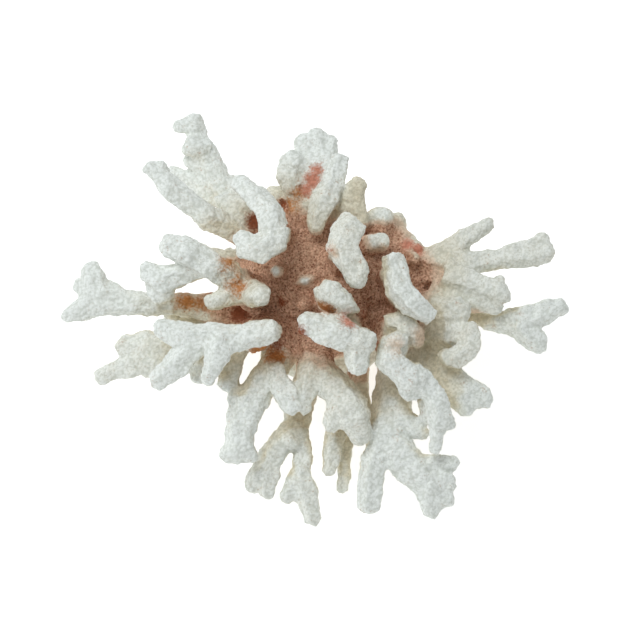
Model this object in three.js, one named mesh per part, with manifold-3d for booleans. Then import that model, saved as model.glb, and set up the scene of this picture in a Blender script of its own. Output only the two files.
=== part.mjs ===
// A branching stony coral with blunt, flattened branch ends, broken off its reef and cut flat underneath.
// Millimetres, +Z up. The coral stands on its cut, and the origin is under its middle on the surface it stands on.
import * as THREE from "three";
import { mergeVertices } from "three/addons/utils/BufferGeometryUtils.js";
import Module from "manifold-3d";

const wasm = await Module();
wasm.setup();

// The coral is drawn as someone sees it who looks down at it. Every station of a branch is written
// [across, up, near, width]: across and up on a picture plane through the coral's heart, near towards the
// viewer, and the width seen there.
const viewElevation = THREE.MathUtils.degToRad(65);
const viewDistance = 1200;
const pictureMiddle = { across: 0, up: -12 };
const heartHeight = 54;

const jointGap = 0.3;
const chalkWhite = "#e9ebe4";
const rustBrown = "#8a5a45";

const acrossAxis = new THREE.Vector3(1, 0, 0);
const upAxis = new THREE.Vector3(0, Math.sin(viewElevation), Math.cos(viewElevation));
const nearAxis = new THREE.Vector3(0, -Math.cos(viewElevation), Math.sin(viewElevation));

// What is nearer the viewer looks larger, so it is drawn in towards the middle of the picture.
const shrink = (near) => 1 - near / viewDistance;

function place([across, up, near]) {
  const s = shrink(near);
  return new THREE.Vector3(0, 0, heartHeight)
    .addScaledVector(acrossAxis, pictureMiddle.across + (across - pictureMiddle.across) * s)
    .addScaledVector(upAxis, pictureMiddle.up + (up - pictureMiddle.up) * s)
    .addScaledVector(nearAxis, near);
}

// A limb is a swept body that passes its stations, and ends in a rounded tip at the last one. deep is its
// size towards the viewer as a share of its width, turn rolls it about its own line in degrees, and boxy,
// from 0 to 1, squares its section off, as on a branch end with a flat top. A thin limb has fewer faces.
const thinWidth = 15;
const facesOf = (stations) => (Math.max(...stations.map((station) => station[3])) < thinWidth ? 5 : 6);

const limb = (stations, { deep = 0.85, turn = 0, sides = facesOf(stations), boxy = 0 } = {}) =>
  ({ stations, deep, turn, sides, boxy });

const tipAngle = THREE.MathUtils.degToRad(58);

// The places along a limb, from 0 at its root to 1 at its tip, that get a ring, each with the ring's share
// of the limb's width there: one at each station, and one more that rounds the tip.
function ringsOf(points, tipRadius) {
  const spans = points.length - 1;
  const lastSpan = points[spans].distanceTo(points[spans - 1]);
  const capLength = Math.min(tipRadius, lastSpan * 0.85);
  const rings = points.slice(0, spans).map((point, i) => ({ at: i / spans, share: 1 }));
  const back = (capLength * (1 - Math.cos(tipAngle))) / lastSpan;
  return [...rings, { at: 1 - back / spans, share: Math.sin(tipAngle) }];
}

// The section's own two directions: one across the view, one as near to the viewer as the limb allows.
function sectionAxes(tangent, before) {
  const facing = nearAxis.clone().addScaledVector(tangent, -nearAxis.dot(tangent));
  if (facing.length() < 0.3) facing.copy(before).addScaledVector(tangent, -before.dot(tangent));
  facing.normalize();
  return { side: facing.clone().cross(tangent).normalize(), facing };
}

// A polygon with this much more reach than a circle has the circle's area.
const polygonReach = (sides) => Math.sqrt((2 * Math.PI) / (sides * Math.sin((2 * Math.PI) / sides)));

function squareOff(angle, boxy) {
  const reach = Math.max(Math.abs(Math.cos(angle)), Math.abs(Math.sin(angle)));
  return 1 + boxy * 0.7 * (1 / reach - 1);
}

function limbGeometry({ stations, deep, turn, sides, boxy }, grow) {
  const points = stations.map(place);
  const radii = stations.map(([, , near, width]) => (width / 2) * shrink(near) * polygonReach(sides));
  const direction = points[points.length - 1].clone().sub(points[points.length - 2]).normalize();
  points[points.length - 1].addScaledVector(direction, grow);
  const curve = new THREE.CatmullRomCurve3(points, false, "centripetal");
  const rings = ringsOf(points, radii[radii.length - 1]);
  const rows = rings.length + 1;
  const geometry = new THREE.SphereGeometry(1, sides, rows);
  const position = geometry.getAttribute("position");
  const roll = THREE.MathUtils.degToRad(turn);
  let facingBefore = upAxis;
  for (let row = 0; row <= rows; row += 1) {
    const ring = rings[THREE.MathUtils.clamp(row - 1, 0, rings.length - 1)];
    const at = row === rows ? 1 : ring.at;
    const share = row === 0 || row === rows ? 0 : ring.share;
    const { side, facing } = sectionAxes(curve.getTangent(at), facingBefore);
    facingBefore = facing;
    const along = at * (stations.length - 1);
    const station = Math.min(Math.floor(along), stations.length - 2);
    const radius = THREE.MathUtils.lerp(radii[station], radii[station + 1], along - station);
    const centre = curve.getPoint(at);
    for (let column = 0; column <= sides; column += 1) {
      const angle = ((column % sides) / sides) * 2 * Math.PI;
      const square = squareOff(angle, boxy) * share;
      const wide = -Math.cos(angle) * (radius + grow) * square;
      const thick = Math.sin(angle) * (radius * deep + grow) * square;
      const point = centre.clone()
        .addScaledVector(side, wide * Math.cos(roll) - thick * Math.sin(roll))
        .addScaledVector(facing, wide * Math.sin(roll) + thick * Math.cos(roll));
      position.setXYZ(row * (sides + 1) + column, point.x, point.y, point.z);
    }
  }
  return geometry;
}

function toSolid(geometry) {
  const bare = geometry.clone();
  bare.deleteAttribute("normal");
  bare.deleteAttribute("uv");
  const merged = mergeVertices(bare, 1e-4);
  return new wasm.Manifold(new wasm.Mesh({
    numProp: 3,
    vertProperties: merged.getAttribute("position").array,
    triVerts: new Uint32Array(merged.index.array),
  }));
}

function toGeometry(solid) {
  const mesh = solid.getMesh();
  const geometry = new THREE.BufferGeometry()
    .setAttribute("position", new THREE.BufferAttribute(new Float32Array(mesh.vertProperties), 3))
    .setIndex(new THREE.BufferAttribute(new Uint32Array(mesh.triVerts), 1));
  geometry.computeVertexNormals();
  return geometry;
}

const joined = (solids) => solids.reduce((all, solid) => all.add(solid));
const limbsSolid = (limbs, grow = 0) => joined(limbs.map((one) => toSolid(limbGeometry(one, grow))));

// The broken foot under the heart, waisted above a flared cut.
const foot = {
  middle: new THREE.Vector3(2, 9, 0),
  profile: [[0, -4], [28, -4], [27, 3], [22, 12], [21, 22], [24, 34], [14, 44], [0, 46]],
  sides: 10,
  lobes: 5,
  lobeDepth: 0.07,
};

function footGeometry(grow) {
  const outline = foot.profile.map(([radius, height]) => new THREE.Vector2(radius && radius + grow, height));
  const geometry = new THREE.LatheGeometry(outline, foot.sides).rotateX(Math.PI / 2);
  const position = geometry.getAttribute("position");
  for (let i = 0; i < position.count; i += 1) {
    const angle = Math.atan2(position.getY(i), position.getX(i));
    const swell = 1 + foot.lobeDepth * Math.cos(foot.lobes * angle) * Math.cos(2 * angle + 1);
    position.setXY(i, position.getX(i) * swell, position.getY(i) * swell);
  }
  return geometry.translate(foot.middle.x, foot.middle.y, foot.middle.z);
}

// The heart that the branches grow from, with the stubs that never grew out.
const heart = {
  ridge: limb([
    [-30, 10, -26, 12], [-23, 11.2, -24, 30], [-8, 8, -21, 45], [12, 4, -20, 48], [34, 2, -22, 38],
    [56, 3, -22, 16],
  ], { deep: 0.9, sides: 10 }),
  shoulder: limb([[12, 4, -22, 20], [22, 18, -16, 20], [29, 30, -12, 10]]),
  capStub: limb([[23, 20, -12, 14], [25.2, 33.5, -5, 11]], { boxy: 0.6, deep: 0.8 }),
  backLobe: limb([[28, 22, -14, 11], [33, 21.5, -12, 8], [38.5, 18.5, -12, 5]]),
  backShoulder: limb([[28, 20, -18, 14], [32, 31, -14, 6]]),
  redRidge: limb([[28, 18, -12, 11], [42, 17, -8, 4.5]]),
  ridgeNub: limb([[34, 12, -10, 8], [38.5, 13, 1, 5.5]]),
  sideNub: limb([[14, 15, -10, 10], [20, 18, -1, 9], [27.5, 20, 6, 8]]),
  cornerStub: limb([[-10, 24, -16, 11], [-19.2, 42, -9, 9.6]], { boxy: 0.6 }),
  roundNub: limb([[-15, 9, -10, 8], [-17.2, 7.4, 5, 6]]),
  crescent: limb([[-5, 4.5, -8, 13], [-5, 3.8, 4.5, 12]], { deep: 0.34, turn: 20, boxy: 0.5 }),
  lowNub: limb([[-5, -4, -8, 8], [-6.2, -6.2, 8, 6]]),
  sideStub: limb([[15, -8, -8, 9], [18, -11, 3, 6.5]]),
};

// Every branch that leaves the heart, as its own list of limbs.
const branches = {
  upper_left_branch: {
    stalk: limb([
      [-20, 24, -24, 18], [-30, 29.6, -23, 15], [-39.2, 40.4, -24, 10.8], [-48.2, 59, -25, 8.6],
      [-52.4, 71, -24, 9],
    ]),
    topNub: limb([[-50, 66.5, -24, 9], [-59, 65, -22, 4.5]]),
    middleNub: limb([[-45, 56, -23, 10], [-55.5, 58, -18, 8]]),
    thornNub: limb([[-43, 48, -25, 9], [-55.2, 52.5, -25, 4.4]]),
    underLobe: limb([[-34, 38, -25, 14], [-42, 40, -27, 14], [-62, 48, -29, 5]]),
    rootLobe: limb([[-24, 27, -18, 17], [-32, 31.5, -15, 16], [-42, 37, -13, 8]]),
  },
  long_finger: {
    finger: limb([
      [-22, 20, -20, 12], [-32, 22.5, -12, 10], [-45.4, 29.1, -5, 9.6], [-60, 41.1, -3, 9],
      [-70, 51, -3, 7],
    ], { deep: 0.9 }),
    tipLobe: limb([[-64, 46, -4, 8], [-63.5, 52.5, -4, 5]]),
  },
  curl: {
    stalk: limb([[-14, 19, -10, 11], [-16.5, 21.5, 2, 10.5], [-18, 22.5, 15, 10]]),
    upperArm: limb([
      [-17.5, 24, 17, 11], [-20.7, 31.3, 16, 10.4], [-26.2, 38, 13, 8.6], [-34.5, 44.5, 8, 6.6],
    ], { deep: 1.1, boxy: 0.5 }),
    lowerArm: limb([
      [-18, 25, 17, 11], [-18.6, 19.6, 18, 11.5], [-24, 16.2, 19, 11], [-29.5, 17, 19, 9.6],
      [-31.8, 24, 19, 7],
    ], { deep: 1.1, boxy: 0.6 }),
  },
  left_paw: {
    root: limb([[-20, -2, -16, 16], [-28, -1, -6, 14], [-33, 3, 3, 13.5], [-38, 7, 8, 11]]),
    upperArm: limb([
      [-35, 5, 6, 12], [-42, 8.8, 12, 10.6], [-54, 16.2, 14, 11], [-64.8, 17.2, 12, 11.2],
    ], { boxy: 0.3 }),
    lowerArm: limb([
      [-42, 9.8, 10, 7], [-56, 5.6, 9, 9.4], [-63, 4, 9, 11.5], [-68.5, 7.5, 9, 8.5], [-69.8, 12, 9, 7],
    ], { deep: 0.7 }),
    heel: limb([[-62, 4, 8, 11], [-64.5, -1, 7, 11], [-67, -6, 6, 8]], { deep: 0.6 }),
    lowNub: limb([[-31, 0, 4, 10], [-39, -3.6, 9, 8], [-46.5, -6, 11, 6.2]], { boxy: 0.3 }),
    frontNub: limb([[-29, 0, 2, 11], [-25, -2.5, 15, 9.5], [-22.6, -3.4, 23, 9]], { boxy: 0.4 }),
  },
  left_arm: {
    arm: limb([
      [-18, -8, -20, 18], [-34, -8, -16, 13], [-57, -5.8, -9, 8.8], [-68, -5.6, -7, 8.8], [-79, -5, -6, 11],
      [-88, -3, -6, 15.5], [-93, -1, -6, 13],
    ], { deep: 0.75 }),
    topLobe: limb([[-89, -3, -5, 15], [-92, 12.5, -4, 6.5]], { deep: 0.7 }),
    sideLobe: limb([[-89, -1, -6, 10], [-99.5, 3, -7, 6]]),
    lowLobe: limb([[-88, -5, -5, 12], [-104, -11.5, -3, 6.5]], { deep: 0.7 }),
    underFinger: limb([[-20, -12, -26, 15], [-50, -11.5, -19, 8], [-63, -9.5, -16, 6]]),
  },
  lower_left_far: {
    arm: limb([
      [-16, -14, -30, 16], [-36, -19, -20, 12], [-52, -22, -10, 11], [-62, -24, -5, 14],
      [-71, -25, -4, 16], [-75, -25, -4, 12],
    ], { deep: 0.65 }),
    upperLobe: limb([[-70, -23, -4, 12], [-82.5, -22, -4, 8]], { deep: 0.7 }),
    longLobe: limb([[-68, -26, -4, 12], [-75, -29.6, -3, 10], [-90.5, -36, -3, 6.6]], { deep: 0.7 }),
    lowLobe: limb([[-66, -27, -4, 13], [-69.5, -35.5, -4, 6]]),
    hiddenFinger: limb([
      [-16, -10, -34, 15], [-34, -14, -38, 11], [-46, -16.4, -38, 9], [-57, -19, -36, 7],
    ]),
  },
  lower_left_fingers: {
    root: limb([[-16, -12, -18, 16], [-21, -17, -4, 13], [-27, -19, 10, 12], [-30, -19, 18, 10]]),
    beam: limb([
      [-24, -18, 19, 10], [-34, -19, 19, 10.5], [-56, -18, 17, 9.8], [-67, -13.5, 15, 8],
    ], { deep: 1, boxy: 0.4 }),
    rightEnd: limb([[-32, -19, 19, 10], [-15.2, -15.6, 20, 10.5]], { deep: 1.1, boxy: 0.8 }),
    longFinger: limb([[-46, -19, 17, 10], [-58, -31, 18, 11], [-67.5, -39, 18, 8]], { deep: 0.8 }),
    midFinger: limb([[-47, -20, 10, 10], [-48.5, -29, 9, 9.5], [-48.5, -38.5, 8, 6]]),
    shortFinger: limb([
      [-39, -20, 20, 10.5], [-41, -26, 23, 9.5], [-46, -38.5, 24, 6],
    ], { deep: 1, boxy: 0.3 }),
    deepBlade: limb([
      [-22, -16, -6, 12], [-29.6, -20, -3, 9], [-34.8, -27, 0, 9], [-37.4, -41, 4, 10.5],
    ], { deep: 0.5 }),
  },
  bottom_left_branch: {
    stalk: limb([
      [-8, -12, -20, 18], [-18.4, -30, -1, 12], [-29.4, -47, 5, 13], [-32, -57, 6, 12],
      [-32.8, -70.6, 6, 14],
    ], { deep: 0.75 }),
    shoulder: limb([[-29, -44, 5, 11], [-37.5, -43, 5, 6]]),
    heel: limb([[-33, -63.5, 6, 12], [-40, -68.2, 6, 6.5]]),
    toe: limb([[-32, -62, 6, 12], [-26, -69, 6, 7]]),
    rightFork: limb([
      [-19.8, -28.5, 0, 10], [-17.6, -34, 6, 8.8], [-13.2, -42, 8, 9.6], [-10, -50, 9, 8],
    ], { deep: 0.8 }),
  },
  bottom_middle_branch: {
    stalk: limb([
      [0, -10, -20, 20], [-2.4, -25, -4, 13.4], [0.2, -33.4, 2, 13], [7.2, -39.6, 6, 12.8], [11.2, -47, 8, 16],
      [12.5, -53, 8, 17],
    ], { deep: 0.75 }),
    leftFork: limb([[-2, -31, 1, 12], [-5.2, -38, 5, 9], [-6.5, -50, 7, 6.5]]),
    leftToe: limb([[9, -47, 8, 12], [2.8, -57, 7, 6.5]]),
    rightToe: limb([[13, -50, 8, 15], [18.5, -62, 6, 8]]),
  },
  low_front_branch: {
    stalk: limb([[2, -16, -34, 16], [-4.4, -34, -26, 10.6], [-9.8, -55, -11, 10], [-10, -60, -9, 10]]),
    nub: limb([[-10, -58, -10, 10], [-13, -63, -1, 7]]),
    leftFinger: limb([
      [-11, -57, -9, 10], [-17.4, -63.8, -7, 10.2], [-24.4, -76, -6, 10], [-29.6, -80, -6, 6.5],
    ]),
    leftToe: limb([[-20, -69, -6, 9.5], [-21, -77, -5, 9], [-21.5, -84, -5, 6]]),
    rightFinger: limb([
      [-9, -56, -9, 9], [-7, -63, -8, 7.5], [-7, -72, -6, 7.5], [-6.4, -79, -5, 10], [-1.6, -94.5, -4, 8.6],
    ]),
    rightToe: limb([[-8, -77, -5, 10], [-15.6, -84.8, -5, 6.5]]),
  },
  low_right_branch: {
    stalk: limb([
      [11, -12, -32, 12], [15.6, -27, -22, 8], [15.6, -38, -17, 8.2], [13, -47, -13, 9],
      [11, -55, -12, 9],
    ]),
    frontFinger: limb([[10, -48, -11, 9], [6.5, -58, -5, 8.5], [3.2, -75, -2, 7]]),
    rearFinger: limb([[11, -52, -13, 8], [10, -63, -11, 6], [9, -82, -8, 5.5]]),
    shortFinger: limb([[15, -38, -16, 8.5], [19.5, -54, -9, 6.5]]),
  },
  front_fork: {
    root: limb([[7, -4, -16, 14], [10, -10, -4, 12.5], [11, -14, 8, 12], [11, -17.4, 23, 10]]),
    leftArm: limb([
      [11, -18, 24, 12], [3.5, -16, 25, 12.5], [-9.6, -11.6, 25, 9.5],
    ], { deep: 0.9, boxy: 0.8 }),
    rightArm: limb([[9, -17.5, 24, 12], [22.6, -22.8, 22, 10.5]], { deep: 0.9, boxy: 0.7 }),
    finger: limb([[15, -20, 22, 11], [15.4, -34.8, 20, 8.8]], { deep: 0.9, boxy: 0.4 }),
  },
  middle_paw: {
    root: limb([[2, -3, -14, 12], [4, -6, 4, 11], [6, -5, 16, 10]], { deep: 1 }),
    blade: limb([
      [5, -7, 10, 15], [6.5, -4, 21, 19], [7.4, -2.2, 32, 18],
    ], { deep: 0.46, turn: -27, boxy: 0.5 }),
    knuckle: limb([[3.5, 0, 20, 9], [3.8, 0.6, 31.5, 8.5]], { deep: 0.9, boxy: 0.4 }),
  },
  centre_blade: {
    root: limb([[8, 10, -14, 15], [9, 12, 0, 12], [10, 16, 21, 9.5]], { deep: 1.2 }),
    blade: limb([
      [14.5, 27.6, 20, 9], [10.4, 23.5, 22, 12], [9.2, 17, 23, 12], [16.6, 0.6, 25, 8],
    ], { deep: 1.2, boxy: 0.5 }),
    hook: limb([[11, 23.5, 22, 9], [17, 20, 22, 6.5]], { deep: 1.1 }),
    lowKnob: limb([[14, 9, 23, 9], [16.6, 5.4, 29.5, 9]], { boxy: 0.4 }),
  },
  tan_blade: {
    blade: limb([[5, 20, -14, 15], [12.2, 34.6, -2, 11.5], [16.8, 45.4, 3, 6.5]], { deep: 0.6 }),
    heel: limb([[10, 28, -7, 12], [14.5, 33, -2, 11], [18, 35, -1, 7.5]], { deep: 0.6 }),
    foot: limb([[11, 25, -8, 10], [16, 28, -3, 9], [18.8, 29.5, -1, 6.5]]),
  },
  top_paw: {
    stalk: limb([
      [-6, 18, -20, 18], [-6, 27, -11, 16], [-6, 35, -8, 13], [-3, 43, -7, 13], [-1, 51, -7, 16],
      [-1, 58, -7, 15],
    ], { deep: 0.7 }),
    leftToe: limb([[-5, 54, -7, 9], [-7.6, 63, -7, 6.5]]),
    middleToe: limb([[-1, 55, -7, 10], [-1, 65.4, -7, 7.5]]),
    rightToe: limb([[2.6, 54, -7, 8.4], [5.4, 62.2, -7, 5.6]]),
    ridge: limb([
      [8.2, 53, -5, 6], [7.2, 49, -4, 8.2], [5, 42, -1, 8.8], [1.5, 35, 2, 9.6], [-1, 29, 3, 8.5],
      [-2.5, 21.6, 2, 6.5],
    ], { deep: 1.1 }),
    leafStalk: limb([[-8, 32, -9, 10], [-10.5, 40, -5, 8], [-12, 46, -3, 9]]),
    leaf: limb([
      [-11, 39, -4, 6.5], [-12, 45, -3, 10.5], [-11.6, 50.5, -2, 10], [-8.6, 55.6, -2, 5],
    ], { deep: 0.5, boxy: 0.4 }),
    leafCorner: limb([[-11, 47, -3, 8], [-16.6, 50.6, -2.5, 5]], { deep: 0.7 }),
  },
  right_blade: {
    upperRoot: limb([[26, 2, -14, 16], [28, 5, 0, 11], [30, 7, 19, 7.5]], { deep: 1.2 }),
    lowerRoot: limb([[28, -4, -12, 13], [31, -3, 2, 11], [34, -2.5, 19, 7.5]], { deep: 1.1 }),
    blade: limb([
      [29, 14, 19, 8.5], [31.6, 0.5, 22, 10], [36, -5, 22, 10], [46, -11.6, 18, 7.5],
    ], { deep: 1.25, boxy: 0.5 }),
  },
  right_upper_branch: {
    root: limb([[26, 4, -26, 20], [43, 8, -11, 18], [54, 9, -6, 14]], { deep: 0.75 }),
    shoulder: limb([[46, 10, -8, 13], [48, 18.6, -8, 5]]),
    upFinger: limb([[48, 12, -8, 12], [59, 21.5, -8, 7.6], [70, 28, -8, 6.2]]),
    longFinger: limb([[52, 9, -6, 13], [68, 12, -6, 8], [85, 15, -6, 11], [94.6, 16, -6, 10.5]]),
    fingerLobe: limb([[87, 16, -6, 9], [90, 23, -6, 4.5]]),
    lowFinger: limb([[50, 6, -4, 14], [72, -1.2, 2, 9], [77, -1.4, 2, 6]]),
    tipNub: limb([[67, 0, 1, 7], [73.6, 5.2, 2, 3.6]]),
    underFinger: limb([[46, 1, -8, 13], [55, -2, -4, 12.5], [73.6, -7, -1, 6.5]]),
  },
  right_arm: {
    arm: limb([
      [30, -4, -26, 16], [48, -6, -18, 11], [66, -12.2, -10, 6.4], [81, -13, -7, 11.6],
      [85, -12.4, -7, 11],
    ], { deep: 0.75 }),
    upperLobe: limb([[81, -12, -7, 11], [90, -8.6, -6, 9.6], [99.8, -5.8, -6, 7.4]]),
    lowerLobe: limb([[80, -13.4, -7, 12], [87.6, -22, -6, 8.4], [88.4, -26, -6, 6.5]]),
  },
  right_lobe: {
    root: limb([[26, -6, -20, 18], [38, -7, -8, 15], [54, -9, 3, 13], [60.4, -10.8, 4, 10]], { deep: 0.8 }),
    lowMass: limb([[34, -12, -12, 16], [53, -17.6, 2, 13.5], [60, -19, 4, 11]], { deep: 0.8 }),
    hookTop: limb([[55, -18, 4, 10], [63.4, -14.8, 9, 5.5]]),
    hook: limb([
      [60.4, -14.6, 8, 6], [61, -20, 9, 7.2], [59, -24.6, 9, 8.6], [55, -27.2, 9, 9], [51, -26.4, 8, 7.5],
      [49.4, -23.6, 7, 6.5],
    ], { boxy: 0.3 }),
  },
  wavy_blade: {
    root: limb([[24, -8, -16, 16], [30, -19, 8, 12], [31, -26, 18, 9]], { deep: 1.1 }),
    topHook: limb([
      [26.6, -13.6, 12, 7.5], [31, -13, 13, 8], [35, -14.4, 13, 8], [38, -18.4, 12, 7.5],
      [38.4, -23.4, 11, 5],
    ], { deep: 1.2, boxy: 0.4 }),
    midHook: limb([
      [35, -19.6, 19, 4.5], [31.4, -19.4, 19, 7], [28, -22, 19, 8.5], [27.4, -27.4, 19, 11],
      [37, -35.6, 18, 11.5], [35, -44.6, 14, 7.5],
    ], { deep: 1, boxy: 0.3 }),
    tail: limb([[36, -33, 17, 12], [46.6, -43, 16, 9], [48.2, -49, 15, 9], [45.8, -66, 11, 4.2]]),
    tailNub: limb([[48.6, -48.6, 14, 8.6], [53.2, -56, 12, 4.6]]),
    underLobe: limb([[44, -41, 10, 9], [43.6, -54, 7, 8.5]]),
  },
  lower_right_blade: {
    blade: limb([
      [26, -8, -24, 22], [35, -19, -12, 21], [42, -27.4, -6, 20.4], [57, -41.6, 1, 13.4],
      [70, -43.8, 2, 8.4],
    ], { deep: 0.5 }),
    lowCorner: limb([[56, -42, 1, 12], [60.4, -50.8, 1, 6.6]], { deep: 0.7 }),
    topCorner: limb([[44, -26.4, -4, 12], [49.4, -28, -3, 8.4], [52.2, -31, -2, 5.6]], { deep: 0.7 }),
    hiddenFinger: limb([[34, -16, -13, 14], [40, -20, -24, 12], [47, -26, -33, 10], [52, -32, -36, 7]]),
    hiddenToe: limb([[40, -20, -24, 10], [46, -17, -32, 8.5], [51, -17.6, -38, 6]]),
  },
  bottom_right_branch: {
    stalk: limb([
      [18, -8, -26, 18], [27.4, -18, -14, 14], [30.4, -28, -7, 12.5], [27.4, -57, 1, 17],
      [28, -61, 1, 16],
    ], { deep: 0.75 }),
    leftFinger: limb([[25, -60, 1, 12], [20.4, -76, 2, 9.6], [19.8, -90.4, 2, 11.8]], { deep: 0.85 }),
    rightFinger: limb([[27, -58.6, 1, 14], [33.4, -67.4, 3, 13.6], [44.6, -80, 4, 15]], { deep: 0.75 }),
    lowToe: limb([[43.4, -78, 4, 12], [45.2, -92, 4, 7.2]], { deep: 0.75 }),
    middleToe: limb([[44, -78, 4, 13], [53, -86.4, 4, 8.2]], { deep: 0.75 }),
    sideToe: limb([[44, -76, 4, 11], [55.6, -78.8, 4, 9.6]], { deep: 0.75 }),
    sideFinger: limb([
      [27, -40, -1, 9], [33.6, -50.4, 4, 8], [39, -55.6, 5, 8.4], [42, -59.6, 5, 5],
    ], { deep: 0.8 }),
    thumb: limb([[40, -69.6, 3, 8], [56.4, -69.2, 4, 7.4]]),
    deepNub: limb([[28, -62, -6, 9], [30, -73, -8, 6]]),
    deepToe: limb([[31, -64, -4, 9], [38, -79, -5, 5]]),
  },
  back_branch: {
    stalk: limb([[-4, 10, -34, 18], [-4, 38, -48, 12], [-7, 54, -54, 8]]),
    rightToe: limb([[-3, 38, -47, 10], [3, 53, -52, 7]]),
  },
  back_left_branch: {
    stalk: limb([[-14, 10, -34, 17], [-20, 22, -42, 13], [-28.6, 32, -54, 7]]),
    toe: limb([[-18, 20, -42, 10], [-15, 30, -55, 6]]),
  },
  back_right_branch: {
    stalk: limb([[14, 10, -34, 17], [20, 26.6, -48, 10], [19, 30, -53, 7]]),
    toe: limb([[19, 20, -42, 10], [32, 19.6, -50, 6]]),
  },
  right_back_branch: {
    stalk: limb([[26, 2, -36, 16], [52, 7, -45, 10.6], [59, 6.6, -48, 8]]),
    toe: limb([[42, 5, -41, 9], [48, 10, -46, 8], [51, 11.6, -50, 6]]),
  },
  left_back_branch: {
    stalk: limb([[-20, 8, -36, 15], [-35, 10, -42, 11], [-53, 15, -47, 7]]),
    toe: limb([[-33, 12, -42, 9], [-41, 13.5, -56, 6]]),
  },
};

// Each solid is cut back from the heart and from the branches named before it, so that none share room.
const floorBox = toSolid(new THREE.BoxGeometry(400, 400, 100).translate(0, 0, -50));
const biggestBody = (solid) => solid.decompose().reduce((a, b) => (a.volume() > b.volume() ? a : b));
const heartSolid = (grow) =>
  joined([limbsSolid(Object.values(heart), grow), toSolid(footGeometry(grow))]);

function coralSolids() {
  const solids = new Map([["heart", biggestBody(heartSolid(0).subtract(floorBox))]]);
  const taken = [heartSolid(jointGap)];
  for (const [name, limbs] of Object.entries(branches)) {
    const whole = limbsSolid(Object.values(limbs));
    const free = taken.reduce((left, other) => left.subtract(other), whole);
    solids.set(name, biggestBody(free.subtract(floorBox)));
    taken.push(limbsSolid(Object.values(limbs), jointGap));
  }
  return solids;
}

function coral() {
  const group = new THREE.Group();
  for (const [name, solid] of coralSolids()) {
    const color = name === "heart" ? rustBrown : chalkWhite;
    const mesh = new THREE.Mesh(
      toGeometry(solid),
      new THREE.MeshStandardMaterial({ color, roughness: 0.9, metalness: 0 }),
    );
    mesh.name = name;
    group.add(mesh);
  }
  const box = new THREE.Box3().setFromObject(group);
  const middle = box.getCenter(new THREE.Vector3());
  for (const mesh of group.children) mesh.position.set(-middle.x, -middle.y, -box.min.z);
  return group;
}

export default coral();
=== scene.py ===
# Bleached branching stony coral with a stained core, standing on its sawn foot.
# The solids of the frame are fused into one skeleton, grown over with its grain,
# and parted again into the branches of the frame.

import math

import bpy
import numpy as np
from mathutils import Matrix, Vector
from mathutils.bvhtree import BVHTree
from mathutils.kdtree import KDTree


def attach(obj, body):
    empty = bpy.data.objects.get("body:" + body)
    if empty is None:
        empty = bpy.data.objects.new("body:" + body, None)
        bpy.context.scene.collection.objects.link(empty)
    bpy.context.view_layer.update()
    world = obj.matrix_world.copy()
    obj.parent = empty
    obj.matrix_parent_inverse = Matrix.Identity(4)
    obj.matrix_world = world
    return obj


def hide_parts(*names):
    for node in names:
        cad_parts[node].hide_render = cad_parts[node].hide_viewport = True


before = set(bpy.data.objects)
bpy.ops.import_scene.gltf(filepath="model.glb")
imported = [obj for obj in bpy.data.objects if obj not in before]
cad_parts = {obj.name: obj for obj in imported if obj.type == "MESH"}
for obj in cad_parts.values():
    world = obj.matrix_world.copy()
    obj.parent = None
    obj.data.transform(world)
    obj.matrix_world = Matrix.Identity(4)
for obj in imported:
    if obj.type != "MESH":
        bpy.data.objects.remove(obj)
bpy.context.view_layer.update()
mm = 0.001  # the frame is in metres, and the sizes below in millimetres
print("frame loaded:", len(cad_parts), "solids")


# small helpers

# an sRGB hex colour as the linear RGBA that Blender's sockets take
def linearColour(hexColour):
    channels = [int(hexColour[i : i + 2], 16) / 255 for i in (1, 3, 5)]
    return (*[c / 12.92 if c <= 0.04045 else ((c + 0.055) / 1.055) ** 2.4 for c in channels], 1.0)


# adds a node: sockets holds values or the sockets linked to them, and settings the node's own
def addNode(tree, kind, sockets=None, **settings):
    node = tree.nodes.new(kind)
    for name, value in settings.items():
        setattr(node, name, value)
    for key, value in (sockets or {}).items():
        if isinstance(value, bpy.types.NodeSocket):
            tree.links.new(value, node.inputs[key])
        else:
            node.inputs[key].default_value = value
    return node


def smoothStep(low, high, value):
    share = np.clip((value - low) / (high - low), 0, 1)
    return share * share * (3 - 2 * share)


# each point's value mixed with the mean of its neighbours, over and over
def spreadOut(values, edges, passes):
    count = np.bincount(edges.ravel(), minlength=len(values))
    for _ in range(passes):
        total = np.bincount(edges[:, 0], values[edges[:, 1]], len(values))
        total += np.bincount(edges[:, 1], values[edges[:, 0]], len(values))
        values = 0.5 * values + 0.5 * total / count
    return values


# the camera, floor and light

view = {
    "aim": (1.98, -6.73, 48.93),  # mm, the middle of the picture
    "elevation": 65,  # degrees above the floor
    "distance": 1200,  # mm
    "width": 256,  # mm across the picture at the aim
    "sensor": 36,  # mm
    "farthest": 10,  # m, past the far edge of the table
    "pixels": 640,
}


def viewAxes():
    tilt = math.radians(view["elevation"])
    up = Vector((0, math.sin(tilt), math.cos(tilt)))
    near = Vector((0, -math.cos(tilt), math.sin(tilt)))
    return Vector((1, 0, 0)), up, near


def cameraPlace():
    return (Vector(view["aim"]) + viewAxes()[2] * view["distance"]) * mm


def addCamera():
    across, up, near = viewAxes()
    data = bpy.data.cameras.new("camera")
    data.sensor_width = view["sensor"]
    data.lens = view["sensor"] * view["distance"] / view["width"]
    data.clip_end = view["farthest"]
    camera = bpy.data.objects.new("camera", data)
    turn = Matrix((across, up, near)).transposed().to_4x4()
    camera.matrix_world = Matrix.Translation(cameraPlace()) @ turn
    bpy.context.collection.objects.link(camera)
    bpy.context.scene.camera = camera


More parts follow.
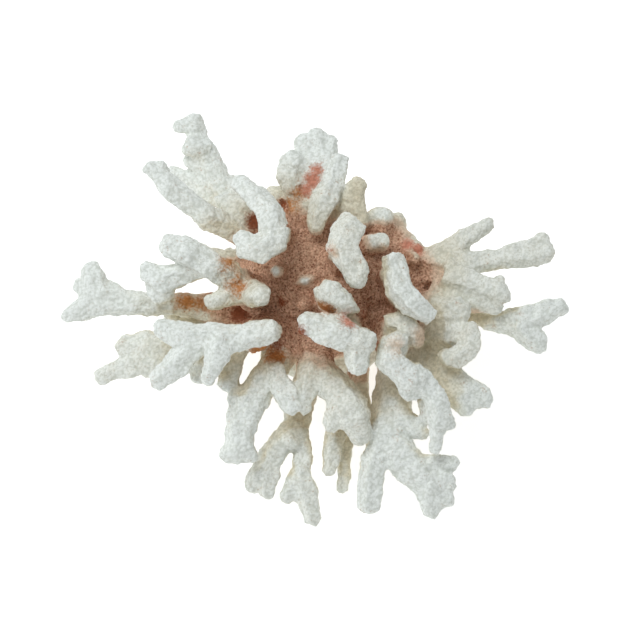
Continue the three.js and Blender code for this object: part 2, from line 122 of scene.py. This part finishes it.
# the direction in which the camera sees a pixel of its 640 x 640 picture
def pixelRay(pixel):
    across, up, near = viewAxes()
    size = view["width"] / view["pixels"]
    half = view["pixels"] / 2
    sideways = (pixel[0] - half) * size
    upwards = (half - pixel[1]) * size
    return (across * sideways + up * upwards - near * view["distance"]).normalized()


studio = {
    "floorSize": 4000,  # mm
    "floorColour": "#fbfbfa",
    "floorRoughness": 0.9,
    "floorSpecular": 0.1,
    "floorGlow": 0.55,  # the floor is a lit table, so the shadows on it stay pale
    "roomColour": "#f4f8fa",
    "roomLight": 0.5,
    "lamps": [
        # place and size in mm, power in watts
        {"name": "overhead_softbox", "at": (-260, 160, 950), "size": 520, "power": 4.3,
         "colour": "#f6fbff"},
        {"name": "left_softbox", "at": (-800, -200, 520), "size": 600, "power": 1.1,
         "colour": "#f4f8ff"},
    ],
}


def addFloor():
    half = studio["floorSize"] / 2 * mm
    mesh = bpy.data.meshes.new("floor")
    corners = [(-half, -half, 0), (half, -half, 0), (half, half, 0), (-half, half, 0)]
    mesh.from_pydata(corners, [], [(0, 1, 2, 3)])
    floor = bpy.data.objects.new("floor", mesh)
    material = bpy.data.materials.new("pale_table")
    material.use_nodes = True
    shader = material.node_tree.nodes["Principled BSDF"]
    shader.inputs["Base Color"].default_value = linearColour(studio["floorColour"])
    shader.inputs["Roughness"].default_value = studio["floorRoughness"]
    shader.inputs["Specular IOR Level"].default_value = studio["floorSpecular"]
    shader.inputs["Emission Color"].default_value = linearColour(studio["floorColour"])
    shader.inputs["Emission Strength"].default_value = studio["floorGlow"]
    mesh.materials.append(material)
    bpy.context.collection.objects.link(floor)


def addLight():
    world = bpy.data.worlds.new("studio")
    world.use_nodes = True
    background = world.node_tree.nodes["Background"]
    background.inputs["Color"].default_value = linearColour(studio["roomColour"])
    background.inputs["Strength"].default_value = studio["roomLight"]
    bpy.context.scene.world = world
    aim = Vector(view["aim"]) * mm
    for lamp in studio["lamps"]:
        data = bpy.data.lights.new(lamp["name"], "AREA")
        data.shape = "DISK"
        data.size = lamp["size"] * mm
        data.energy = lamp["power"]
        data.color = linearColour(lamp["colour"])[:3]
        light = bpy.data.objects.new(lamp["name"], data)
        light.location = Vector(lamp["at"]) * mm
        light.rotation_mode = "QUATERNION"
        light.rotation_quaternion = (aim - light.location).to_track_quat("-Z", "Y")
        bpy.context.collection.objects.link(light)
    bpy.context.scene.view_settings.view_transform = "Standard"


addCamera()
addFloor()
addLight()
print("camera, table and light set")


# the skeleton: one fused mesh over all the solids

skeleton = {
    "bridge": 0.3,  # mm that each solid grows, which closes the joints between them
    "voxel": 0.53,  # mm
    "smoothing": 24,  # passes that round off the facets
    "slimming": 0.12,  # mm taken back off the grown solids
    "swellingSize": 7.0,  # mm between the swellings of a branch
    "swelling": 1.6,  # mm from the lowest to the highest
    "knobSize": 3.0,  # mm between the knobs
    "knob": 0.3,  # mm from the lowest to the highest
    "warpSize": 2.5,  # mm between the bends that keep the knobs and cups uneven
    "warp": 0.5,  # mm that they bend
    "corallite": 1.2,  # mm between the cups of the polyps, which sit 0.8 to 1.5 mm apart
    "coralliteHeight": 0.34,  # mm
}


# points and faces of a solid of the frame, with the corners of its facets shared
def solidFaces(node):
    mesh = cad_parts[node].data
    points = np.array([v.co for v in mesh.vertices])
    keys = np.round(points / mm, 4)
    shared, index = np.unique(keys, axis=0, return_inverse=True)
    index = index.ravel()
    faces = [tuple(index[v] for v in face.vertices) for face in mesh.polygons]
    return shared * mm, faces


# the solids grown by the bridge, in one mesh
def grownSolids():
    points, faces = [], []
    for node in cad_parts:
        mesh = bpy.data.meshes.new(node)
        nodePoints, nodeFaces = solidFaces(node)
        mesh.from_pydata(nodePoints.tolist(), [], nodeFaces)
        normals = np.array([v.normal for v in mesh.vertices])
        start = len(points)
        points.extend((nodePoints + normals * skeleton["bridge"] * mm).tolist())
        faces.extend([tuple(start + v for v in face) for face in nodeFaces])
        bpy.data.meshes.remove(mesh)
    merged = bpy.data.meshes.new("skeleton")
    merged.from_pydata(points, [], faces)
    return merged


# Geometry Nodes that push the surface out in swellings, knobs and corallites
def growthNodes():
    tree = bpy.data.node_groups.new("growth", "GeometryNodeTree")
    tree.interface.new_socket("Geometry", in_out="INPUT", socket_type="NodeSocketGeometry")
    tree.interface.new_socket("Geometry", in_out="OUTPUT", socket_type="NodeSocketGeometry")
    start = addNode(tree, "NodeGroupInput")
    place = addNode(tree, "GeometryNodeInputPosition")
    normal = addNode(tree, "GeometryNodeInputNormal")
    grain = addNode(tree, "GeometryNodeInputNamedAttribute", {"Name": "grain"}, data_type="FLOAT")
    coords = place.outputs["Position"]

    swelling = addNode(
        tree, "ShaderNodeTexNoise",
        {"Vector": coords, "Scale": 1 / (skeleton["swellingSize"] * mm), "Detail": 1.0},
    )
    warp = addNode(
        tree, "ShaderNodeTexNoise",
        {"Vector": coords, "Scale": 1 / (skeleton["warpSize"] * mm), "Detail": 0.0},
    )
    warped = addNode(
        tree, "ShaderNodeVectorMath",
        {0: warp.outputs["Color"], 1: [skeleton["warp"] * mm] * 3, 2: coords},
        operation="MULTIPLY_ADD",
    )
    knobs = addNode(
        tree, "ShaderNodeTexVoronoi",
        {"Vector": warped.outputs[0], "Scale": 1 / (skeleton["knobSize"] * mm), "Smoothness": 0.3},
        feature="SMOOTH_F1",
    )
    cups = addNode(
        tree, "ShaderNodeTexVoronoi",
        {"Vector": warped.outputs[0], "Scale": 1 / (skeleton["corallite"] * mm)},
    )
    # the noise runs from about 0.25 to 0.75
    swellingHeight = addNode(
        tree, "ShaderNodeMapRange",
        {
            "Value": swelling.outputs["Fac"], "From Min": 0.25, "From Max": 0.75,
            "To Min": -(skeleton["slimming"] + 0.5 * skeleton["swelling"]) * mm,
            "To Max": (0.5 * skeleton["swelling"] - skeleton["slimming"]) * mm,
        },
    )
    knobHeight = addNode(
        tree, "ShaderNodeMapRange",
        {
            "Value": knobs.outputs["Distance"], "From Min": 0.1, "From Max": 0.75,
            "To Min": 0.6 * skeleton["knob"] * mm, "To Max": -0.4 * skeleton["knob"] * mm,
        },
        interpolation_type="SMOOTHSTEP",
    )
    # a cup is a low dome that meets its neighbours in a sharp hollow
    cupSquare = addNode(
        tree, "ShaderNodeMath",
        {0: cups.outputs["Distance"], 1: cups.outputs["Distance"]}, operation="MULTIPLY",
    )
    cupShape = addNode(
        tree, "ShaderNodeMapRange",
        {"Value": cupSquare.outputs[0], "From Min": 0.0, "From Max": 0.5, "To Min": 1.0, "To Max": 0.0},
    )
    cupRise = skeleton["coralliteHeight"] * mm
    cupHeight = addNode(
        tree, "ShaderNodeMath",
        {0: cupShape.outputs[0], 1: cupRise, 2: -0.5 * cupRise},
        operation="MULTIPLY_ADD",
    )
    fine = addNode(
        tree, "ShaderNodeMath",
        {0: knobHeight.outputs[0], 1: cupHeight.outputs[0]}, operation="ADD",
    )
    height = addNode(
        tree, "ShaderNodeMath",
        {0: fine.outputs[0], 1: grain.outputs["Attribute"], 2: swellingHeight.outputs[0]},
        operation="MULTIPLY_ADD",
    )
    offset = addNode(
        tree, "ShaderNodeVectorMath",
        {0: normal.outputs[0], "Scale": height.outputs[0]}, operation="SCALE",
    )
    stored = addNode(
        tree, "GeometryNodeStoreNamedAttribute",
        {"Geometry": start.outputs[0], "Name": "cup", "Value": cupShape.outputs[0]}, data_type="FLOAT",
    )
    moved = addNode(
        tree, "GeometryNodeSetPosition",
        {"Geometry": stored.outputs[0], "Offset": offset.outputs[0]},
    )
    addNode(tree, "NodeGroupOutput", {0: moved.outputs[0]})
    return tree


def appliedMesh(thing):
    bpy.context.view_layer.update()
    graph = bpy.context.evaluated_depsgraph_get()
    return bpy.data.meshes.new_from_object(thing.evaluated_get(graph))


def meshPoints(mesh):
    values = np.empty(len(mesh.vertices) * 3, np.float32)
    mesh.vertices.foreach_get("co", values)
    return values.reshape(-1, 3).astype(float)


def meshQuads(mesh):
    values = np.empty(len(mesh.loops), np.int32)
    mesh.loops.foreach_get("vertex_index", values)
    return values.reshape(-1, 4)


def setValues(mesh, name, values):
    attribute = mesh.attributes.get(name) or mesh.attributes.new(name, "FLOAT", "POINT")
    attribute.data.foreach_set("value", np.asarray(values, np.float32))


def getValues(mesh, name):
    values = np.empty(len(mesh.vertices), np.float32)
    mesh.attributes[name].data.foreach_get("value", values)
    return values.astype(float)


# the facets rounded off, at the final fineness of the mesh
def fusedSkeleton():
    thing = bpy.data.objects.new("skeleton", grownSolids())
    bpy.context.collection.objects.link(thing)
    remesh = thing.modifiers.new("remesh", "REMESH")
    remesh.mode = "VOXEL"
    remesh.voxel_size = skeleton["voxel"] * mm
    smooth = thing.modifiers.new("smooth", "SMOOTH")
    smooth.factor = 0.5
    smooth.iterations = skeleton["smoothing"]
    thing.data = appliedMesh(thing)
    thing.modifiers.clear()
    return thing


# every surface of the solids in one search tree, with the node that each face belongs to
def solidSearch(nodes):
    points, faces, owners = [], [], []
    for number, node in enumerate(nodes):
        nodePoints, nodeFaces = solidFaces(node)
        start = len(points)
        points.extend(nodePoints.tolist())
        faces.extend([tuple(start + v for v in face) for face in nodeFaces])
        owners.extend([number] * len(nodeFaces))
    return BVHTree.FromPolygons(points, faces), owners


nodeNames = list(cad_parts)
whole = fusedSkeleton()
print("solids fused:", len(whole.data.polygons), "faces")

# The stained core is a thick line through the colony, given as the camera sees it:
# mm across, up and near from the heart's middle, and its radius there. The last two stubs carry the
# stain round the back.
core = {
    "middle": (-1.98, -4.14, 54.0),
    "line": [(-26, 10, -25, 12), (-8, 8, -21, 20), (12, 4, -20, 22), (33, 2, -22, 12), (44, 3, -24, 5)],
    "stubs": [(26, 22, -14, 8), (30, 27, -14, 5), (40, 17, -10, 3), (-10, 28, -14, 5),
              (0, 30, -42, 13), (22, 26, -42, 11)],
}


# a place given as the camera sees it, in mm of the frame
def seenPlace(acrossMm, upMm, nearMm):
    across, up, near = viewAxes()
    share = 1 - nearMm / view["distance"]
    middle = Vector(core["middle"])
    pictureMiddle = (Vector(view["aim"]) - middle).dot(up)
    upward = pictureMiddle + (upMm - pictureMiddle) * share
    return np.array(middle + across * acrossMm * share + up * upward + near * nearMm)


# mm from the surface of the stained core, less than 0 inside it
def outsideCore(points):
    away = np.full(len(points), 1e9)
    ends = [(seenPlace(*end[:3]), end[3]) for end in core["line"]]
    for (start, startRadius), (stop, stopRadius) in zip(ends, ends[1:]):
        reach = stop - start
        along = np.clip((points / mm - start) @ reach / (reach @ reach), 0, 1)
        nearestPoint = start + along[:, None] * reach
        radius = startRadius + along * (stopRadius - startRadius)
        away = np.minimum(away, np.linalg.norm(points / mm - nearestPoint, axis=1) - radius)
    for *place, radius in core["stubs"]:
        away = np.minimum(away, np.linalg.norm(points / mm - seenPlace(*place), axis=1) - radius)
    return away


shelter = {
    "voxel": 2.2,  # mm, of the coarse copy that is searched
    "rays": 24,  # looked along from each point
    "grazing": 0.1,  # rays that leave the surface flatter than this are left out
    "reach": 30.0,  # mm
    "spread": 8,  # passes that even out the result
}


# how enclosed each point is, from 0 in the open to 1 in a deep crevice
def shelterOf(points):
    thing = bpy.data.objects.new("coarse", whole.data.copy())
    bpy.context.collection.objects.link(thing)
    remesh = thing.modifiers.new("remesh", "REMESH")
    remesh.voxel_size = shelter["voxel"] * mm
    coarse = appliedMesh(thing)
    bpy.data.objects.remove(thing)
    faces = [face.vertices[:] for face in coarse.polygons]
    surface = BVHTree.FromPolygons(meshPoints(coarse).tolist(), faces)
    # rays spread evenly over the sphere on a spiral, and each point uses the half that leaves it
    count = np.arange(2 * shelter["rays"]) + 0.5
    height = 1 - count / shelter["rays"]
    turn = math.pi * (1 + math.sqrt(5)) * count
    flat = np.sqrt(1 - height**2)
    rays = [Vector(ray) for ray in np.stack([flat * np.cos(turn), flat * np.sin(turn), height], axis=1)]
    tree = KDTree(len(coarse.vertices))
    closed = np.zeros(len(coarse.vertices))
    for vertex in coarse.vertices:
        start = vertex.co + vertex.normal * mm
        tree.insert(vertex.co, vertex.index)
        slopes = [(ray, ray.dot(vertex.normal)) for ray in rays]
        leaving = [(ray, slope) for ray, slope in slopes if slope > shelter["grazing"]]
        hit = sum(slope for ray, slope in leaving
                  if surface.ray_cast(start, ray, shelter["reach"] * mm)[0] is not None)
        closed[vertex.index] = hit / sum(slope for _, slope in leaving)
    tree.balance()
    return closed[[tree.find(Vector(p))[1] for p in points]]


points = meshPoints(whole.data)
edges = np.empty(len(whole.data.edges) * 2, np.int32)
whole.data.edges.foreach_get("vertices", edges)
edges = edges.reshape(-1, 2)
coreDistance = outsideCore(points)
sheltered = spreadOut(shelterOf(points), edges, shelter["spread"])
print("sheltered places found")

grain = {
    "core": 0.35,  # share of the full grain on the stained core
    "reach": (4.0, 16.0),  # mm from the core over which the grain grows to its full height
    "cutEdge": (0.6, 3.0),  # mm above the sawn foot over which it begins
    "cutFlat": 0.7,  # mm up to which the foot is laid flat on the table
}
outward = smoothStep(*grain["reach"], coreDistance)
aboveCut = smoothStep(*grain["cutEdge"], points[:, 2] / mm)
setValues(whole.data, "grain", (grain["core"] + (1 - grain["core"]) * outward) * aboveCut)

whole.modifiers.new("growth", "NODES").node_group = growthNodes()
whole.data = appliedMesh(whole)
whole.modifiers.clear()
points = meshPoints(whole.data)
quads = meshQuads(whole.data)
points[:, 2] = np.where(points[:, 2] < grain["cutFlat"] * mm, 0, points[:, 2])
whole.data.vertices.foreach_set("co", points.astype(np.float32).ravel())
whole.data.update()
tree, owners = solidSearch(nodeNames)
print("grain grown")


# the colour of the skeleton, as values on its points

stains = {
    # stain is the brown of the core, rust a dark brown painted as shade in crevices, salmon a pink
    # granular patch, cream partly the tone of the older skeleton and partly painted shade, and bare a
    # place worn white again
    "coreReach": (-1.0, 9.0),  # mm outside the core over which its stain fades out along a branch
    "shelterReach": 7.0,  # mm further that it reaches where a branch is sheltered
    "soakShelter": (0.1, 0.6),  # shelter over which it comes to reach that far
    "creamReach": (10.0, 38.0),  # mm outside the core over which cream turns to white
    "creamByCore": 0.6,  # strength of that cream
    "paintedShadeShelter": (0.1, 0.6),  # shelter over which white turns to cream, as painted shade
    "paintedShadeByShelter": 0.8,  # strength of that painted shade
    "creviceShelter": (0.55, 0.8),  # shelter over which the stain darkens to rust brown, as painted shade
    "creviceShadeStrength": 0.4,  # strength of that painted shade
    "sampling": 3,  # every third point is looked up, and the two after it take its branch
    "fade": 1.6,  # a spot has faded out at this many times its reach
    "spots": {
        # kind, pixel in the picture, mm of reach, strength
        "round nub": ("bare", (275, 271), 3.5, 1.0),
        "crescent ridge": ("bare", (305, 281), 4.0, 1.0),
        "stub beside centre blade": ("bare", (375, 241), 5.0, 1.0),
        "worn top stub": ("bare", (383, 213), 4.0, 0.8),
        "root of right upper branch": ("stain", (430, 285), 7.0, 0.45),
        "right edge of wavy blade": ("stain", (424, 335), 6.0, 0.6),
        "underside of right upper branch": ("stain", (475, 313), 3.0, 0.5),
        "middle of wavy blade": ("stain", (396, 346), 5.0, 0.35),
        "side of centre blade": ("stain", (333, 252), 4.0, 0.4),
        "root of bottom middle branch": ("stain", (322, 356), 6.0, 0.7),
        # each rust spot is dark brown painted shade in a crevice or under a branch
        "inside the curl": ("paintedCreviceShade", (254, 221), 5.0, 1.0),
        "heart below the round nub": ("paintedCreviceShade", (281, 301), 3.5, 0.7),
        "beside top paw": ("paintedCreviceShade", (283, 204), 3.5, 0.8),
        "left arm under left paw": ("paintedCreviceShade", (240, 314), 5.0, 1.0),
        "behind front fork": ("paintedCreviceShade", (300, 334), 4.5, 1.0),
        "lower edge of middle paw": ("orange", (325, 309), 6.5, 0.9),
        "crotch at bottom left": ("orange", (275, 355), 6.0, 0.9),
        "end of lower left fingers": ("orange", (262, 347), 8.0, 1.0),
        "crevice at bottom left": ("paintedCreviceShade", (278, 345), 4.0, 0.8),
        "streak on top paw": ("orange", (299, 193), 4.5, 0.8),
        "middle of top paw": ("salmon", (313, 181), 4.5, 0.9),
        "lower top paw": ("salmon", (306, 189), 4.0, 0.8),
        "upper top paw": ("salmon", (317, 170), 3.5, 0.8),
        "top of front fork": ("salmon", (348, 321), 4.5, 0.8),
        "rim at the upper right": ("salmon", (408, 244), 3.5, 0.9),
        "end of that rim": ("salmon", (418, 249), 3.0, 0.9),
        "outer root of left arm": ("orange", (186, 300), 6.0, 0.8),
        "inner root of left arm": ("orange", (200, 304), 6.0, 0.7),
        "root of top paw": ("orange", (290, 205), 5.0, 0.7),
        "fleck on centre blade": ("salmon", (330, 250), 2.5, 0.6),
        "root of left paw": ("orange", (228, 262), 6.0, 0.7),
        "base of the nub on left paw": ("orange", (236, 285), 6.0, 0.8),
    },
    "creamAndShade": {
        # how creamy a whole branch is, partly its tone and partly painted shade on the deeper branches
        "tan_blade": 0.8, "centre_blade": 0.35, "low_front_branch": 0.25, "low_right_branch": 0.35,
        "lower_left_far": 0.3, "right_lobe": 0.35, "right_upper_branch": 0.3, "back_branch": 0.6,
        "back_left_branch": 0.6, "back_right_branch": 0.6, "right_back_branch": 0.5,
        "left_back_branch": 0.5, "bottom_middle_branch": 0.3,
    },
    "creamSpread": 60,  # passes that blend one branch's tone into the next
}


def paintSkeleton():
    surface = BVHTree.FromPolygons(points.tolist(), quads.tolist())
    layers = {name: np.zeros(len(points)) for name in ("bare", "stain", "paintedCreviceShade", "orange", "salmon")}
    for name, (kind, pixel, reach, strength) in stains["spots"].items():
        hit = surface.ray_cast(cameraPlace(), pixelRay(pixel))[0]
        if hit is None:
            print("no coral at", name)
            continue
        away = np.linalg.norm(points - np.array(hit), axis=1) / mm
        faded = smoothStep(0, stains["fade"] * reach, away)
        layers[kind] = np.maximum(layers[kind], strength * (1 - faded))
    sampled = points[:: stains["sampling"]]
    nearest = np.array([owners[tree.find_nearest(Vector(p))[2]] for p in sampled])
    nearest = nearest.repeat(stains["sampling"])[: len(points)]
    creamOf = np.array([stains["creamAndShade"].get(node, 0.0) for node in nodeNames])
    layers["creamAndShade"] = spreadOut(creamOf[nearest], edges, stains["creamSpread"])
    nearCore = 1 - smoothStep(*stains["creamReach"], coreDistance)
    layers["creamAndShade"] = np.maximum(layers["creamAndShade"], stains["creamByCore"] * nearCore)
    # painted shade: sheltered places are turned cream
    inShade = smoothStep(*stains["paintedShadeShelter"], sheltered)
    layers["creamAndShade"] = np.maximum(layers["creamAndShade"], stains["paintedShadeByShelter"] * inShade)
    soaked = coreDistance - stains["shelterReach"] * smoothStep(*stains["soakShelter"], sheltered)
    layers["stain"] = np.maximum(layers["stain"], 1 - smoothStep(*stains["coreReach"], soaked))
    bare = layers.pop("bare")
    layers["stain"] *= 1 - bare
    layers["creamAndShade"] *= 1 - bare
    # painted shade: in deep crevices the stain darkens to rust brown
    inCrevice = smoothStep(*stains["creviceShelter"], sheltered)
    layers["paintedCreviceShade"] = np.maximum(layers["paintedCreviceShade"], stains["creviceShadeStrength"] * inCrevice * layers["stain"])
    layers["cup"] = getValues(whole.data, "cup")
    return layers


layers = paintSkeleton()
print("stains laid on")


# materials

# Bleached aragonite, a lime skeleton washed white: matt, chalky and slightly sugary, with painted shade
# as grey in the hollows between the corallites and as cream in sheltered places and on deeper branches,
# and creamy where the core's stain has soaked into it.
bleachedAragonite = {
    "name": "bleached_aragonite",
    "clean": "#eef0ea",
    # painted shade: the grey of the hollows between the corallites
    "hollowShade": "#b9bbb0",
    # cream is partly the older skeleton's tone and partly painted shade
    "creamAndShade": "#e0d6bc",
    "blush": "#e2c9b0",
    "stain": "#dfb598",
    "stainDark": "#a3745a",
    "pit": "#6e4632",
    # rust is a dark brown painted as shade in crevices
    "paintedCreviceShade": "#93502e",
    "orange": "#c27f45",
    "salmon": "#cf8a72",
    "roughness": 0.72,
    "ior": 1.56,
    "specular": 0.35,
    "coats": [
        # value on the points, colour, value at which it begins and at which it covers, raggedness
        ("creamAndShade", "creamAndShade", 0.0, 1.0, 0.35),
        ("stain", "blush", 0.02, 0.45, 0.35),
        ("stain", "brown", 0.45, 0.95, 0.35),
        ("orange", "orange", 0.15, 0.85, 0.9),
        ("salmon", "salmon", 0.15, 0.85, 0.9),
        ("paintedCreviceShade", "paintedCreviceShade", 0.2, 0.9, 0.9),
    ],
    "mottle": 5.0,  # mm between the cloudy patches
    "speckle": 0.9,  # mm, the real specks are half of that, too fine to show
    "grains": (0.35, 0.65),  # speckle over which stain turns to stainDark
    "hollowEdge": 0.6,  # height of a cup, of 1, below which its painted shade begins
    "hollowShare": 0.45,
    "pepper": (0.48, 0.72),  # speckle over which the pepper darkens
    "pepperShare": 0.55,
    "pits": 2.0,  # mm between the dark pin holes
    "pitEdge": (0.12, 0.22),  # share of that at which a pin hole begins to fade and has faded
    "granule": 0.55,  # mm, the sugary grain of the lime
    "bump": 0.12,  # mm
}

# The stained core, the same lime soaked with iron and dried tissue: earth brown with a pink cast,
# speckled with dark pits, and a little duller than the branches.
stainedAragonite = dict(
    bleachedAragonite,
    name="stained_aragonite",
    roughness=0.8,
    specular=0.25,
    bump=0.18,
)


def coralMaterial(look):
    material = bpy.data.materials.new(look["name"])
    material.use_nodes = True
    tree = material.node_tree
    shader = tree.nodes["Principled BSDF"]
    shader.inputs["Roughness"].default_value = look["roughness"]
    shader.inputs["IOR"].default_value = look["ior"]
    shader.inputs["Specular IOR Level"].default_value = look["specular"]
    coords = addNode(tree, "ShaderNodeTexCoord").outputs["Object"]
    value = {
        name: addNode(tree, "ShaderNodeAttribute", attribute_name=name).outputs["Fac"]
        for name in ("stain", "paintedCreviceShade", "orange", "salmon", "creamAndShade", "cup")
    }
    mottle = addNode(
        tree, "ShaderNodeTexNoise",
        {"Vector": coords, "Scale": 1 / (look["mottle"] * mm), "Detail": 4.0, "Roughness": 0.6},
    )
    speckle = addNode(
        tree, "ShaderNodeTexNoise",
        {"Vector": coords, "Scale": 1 / (look["speckle"] * mm), "Detail": 2.0, "Roughness": 0.6},
    )

    # brown is itself a mix of two, grain by grain
    grains = addNode(
        tree, "ShaderNodeMapRange",
        {"Value": speckle.outputs["Fac"], "From Min": look["grains"][0], "From Max": look["grains"][1]},
    )
    tones = {name: linearColour(look[name]) for name in ("creamAndShade", "blush", "orange", "salmon", "paintedCreviceShade")}
    # sockets 0, 6 and 7 of a colour mix are its factor and its two colours, and 2 is its result
    tones["brown"] = addNode(
        tree, "ShaderNodeMix",
        {0: grains.outputs[0], 6: linearColour(look["stain"]), 7: linearColour(look["stainDark"])},
        data_type="RGBA",
    ).outputs[2]

    # each coat is laid over the last, its edge broken up by the mottling and the speckle
    colour = linearColour(look["clean"])
    for name, tone, low, high, ragged in look["coats"]:
        mottled = addNode(
            tree, "ShaderNodeMath",
            {0: mottle.outputs["Fac"], 1: ragged, 2: value[name]}, operation="MULTIPLY_ADD",
        )
        speckled = addNode(
            tree, "ShaderNodeMath",
            {0: speckle.outputs["Fac"], 1: ragged, 2: mottled.outputs[0]}, operation="MULTIPLY_ADD",
        )
        share = addNode(
            tree, "ShaderNodeMapRange",
            {"Value": speckled.outputs[0], "From Min": low + ragged, "From Max": high + ragged},
            interpolation_type="SMOOTHSTEP",
        )
        colour = addNode(
            tree, "ShaderNodeMix", {0: share.outputs[0], 6: colour, 7: tones[tone]}, data_type="RGBA",
        ).outputs[2]

    # painted shade in grey in the hollows, a fine pepper all over, and pin holes where the skeleton is
    # stained
    hollowShade = addNode(
        tree, "ShaderNodeMapRange",
        {
            "Value": value["cup"], "From Min": look["hollowEdge"], "From Max": 0.0,
            "To Max": look["hollowShare"],
        },
    )
    pepper = addNode(
        tree, "ShaderNodeMapRange",
        {
            "Value": speckle.outputs["Fac"], "From Min": look["pepper"][0], "From Max": look["pepper"][1],
            "To Max": look["pepperShare"],
        },
    )
    hollowShadeAndPepper = addNode(
        tree, "ShaderNodeMath", {0: hollowShade.outputs[0], 1: pepper.outputs[0]}, operation="MAXIMUM",
    )
    colour = addNode(
        tree, "ShaderNodeMix", {0: hollowShadeAndPepper.outputs[0], 6: colour, 7: linearColour(look["hollowShade"])},
        data_type="RGBA", blend_type="MULTIPLY",
    ).outputs[2]
    pinholes = addNode(
        tree, "ShaderNodeTexVoronoi", {"Vector": coords, "Scale": 1 / (look["pits"] * mm)},
    )
    pin = addNode(
        tree, "ShaderNodeMapRange",
        {
            "Value": pinholes.outputs["Distance"],
            "From Min": look["pitEdge"][1], "From Max": look["pitEdge"][0],
        },
    )
    pinShare = addNode(
        tree, "ShaderNodeMath", {0: pin.outputs[0], 1: value["stain"]}, operation="MULTIPLY",
    )
    colour = addNode(
        tree, "ShaderNodeMix", {0: pinShare.outputs[0], 6: colour, 7: linearColour(look["pit"])},
        data_type="RGBA",
    ).outputs[2]
    tree.links.new(colour, shader.inputs["Base Color"])

    granules = addNode(
        tree, "ShaderNodeTexNoise",
        {"Vector": coords, "Scale": 1 / (look["granule"] * mm), "Detail": 2.0},
    )
    bump = addNode(
        tree, "ShaderNodeBump",
        {"Height": granules.outputs["Fac"], "Distance": look["bump"] * mm, "Strength": 0.8},
    )
    tree.links.new(bump.outputs[0], shader.inputs["Normal"])
    return material


branchMaterial = coralMaterial(bleachedAragonite)
coreMaterial = coralMaterial(stainedAragonite)
print("materials made")


# the skeleton parted into the branches of the frame

parting = {
    "smallest": 250,  # faces: a smaller patch goes to the branch around it
    "rounds": 3,  # until no small patch is left, at most
}


# the node of each face, with small patches given to their neighbours
def faceOwners():
    centres = points[quads].mean(axis=1)
    owner = np.array([owners[tree.find_nearest(Vector(c))[2]] for c in centres])
    sides = np.sort(np.stack([quads, np.roll(quads, -1, axis=1)], axis=2).reshape(-1, 2), axis=1)
    faces = np.repeat(np.arange(len(quads)), 4)
    order = np.lexsort((sides[:, 1], sides[:, 0]))
    sides, faces = sides[order], faces[order]
    same = np.nonzero((sides[1:] == sides[:-1]).all(axis=1))[0]
    pairs = np.stack([faces[same], faces[same + 1]], axis=1)
    for _ in range(parting["rounds"]):
        patch = connectedPatches(pairs[owner[pairs[:, 0]] == owner[pairs[:, 1]]], len(owner))
        size = np.bincount(patch, minlength=len(owner))[patch]
        small = size < parting["smallest"]
        if not small.any():
            break
        votes = {}
        for a, b in pairs[small[pairs[:, 0]] | small[pairs[:, 1]]].tolist():
            for one, other in ((a, b), (b, a)):
                if small[one] and owner[one] != owner[other]:
                    votes.setdefault(patch[one], []).append(owner[other])
        winner = {name: max(set(seen), key=seen.count) for name, seen in votes.items()}
        for face in np.nonzero(small)[0]:
            owner[face] = winner.get(patch[face], owner[face])
    return owner


# numbers the patches of faces that the pairs join
def connectedPatches(pairs, count):
    parent = list(range(count))
    for a, b in pairs.tolist():
        while parent[a] != a:
            parent[a] = parent[parent[a]]
            a = parent[a]
        while parent[b] != b:
            parent[b] = parent[parent[b]]
            b = parent[b]
        if a != b:
            parent[max(a, b)] = min(a, b)
    for item in range(count):
        parent[item] = parent[parent[item]]
    return np.array(parent)


def partSkeleton():
    owner = faceOwners()
    normals = np.array([v.normal for v in whole.data.vertices])
    for number, node in enumerate(nodeNames):
        own = quads[owner == number]
        used, index = np.unique(own, return_inverse=True)
        mesh = bpy.data.meshes.new(node)
        mesh.from_pydata(points[used].tolist(), [], index.reshape(-1, 4).tolist())
        for name, values in layers.items():
            setValues(mesh, name, values[used])
        mesh.polygons.foreach_set("use_smooth", [True] * len(own))
        mesh.normals_split_custom_set_from_vertices(normals[used].tolist())
        isHeart = node == "heart"
        mesh.materials.append(coreMaterial if isHeart else branchMaterial)
        piece = bpy.data.objects.new(node + "_skeleton", mesh)
        bpy.context.collection.objects.link(piece)
        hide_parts(node)
        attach(piece, "root")
        print(piece.name, len(own), "faces")


partSkeleton()
bpy.data.objects.remove(whole)
print("skeleton parted into its branches")
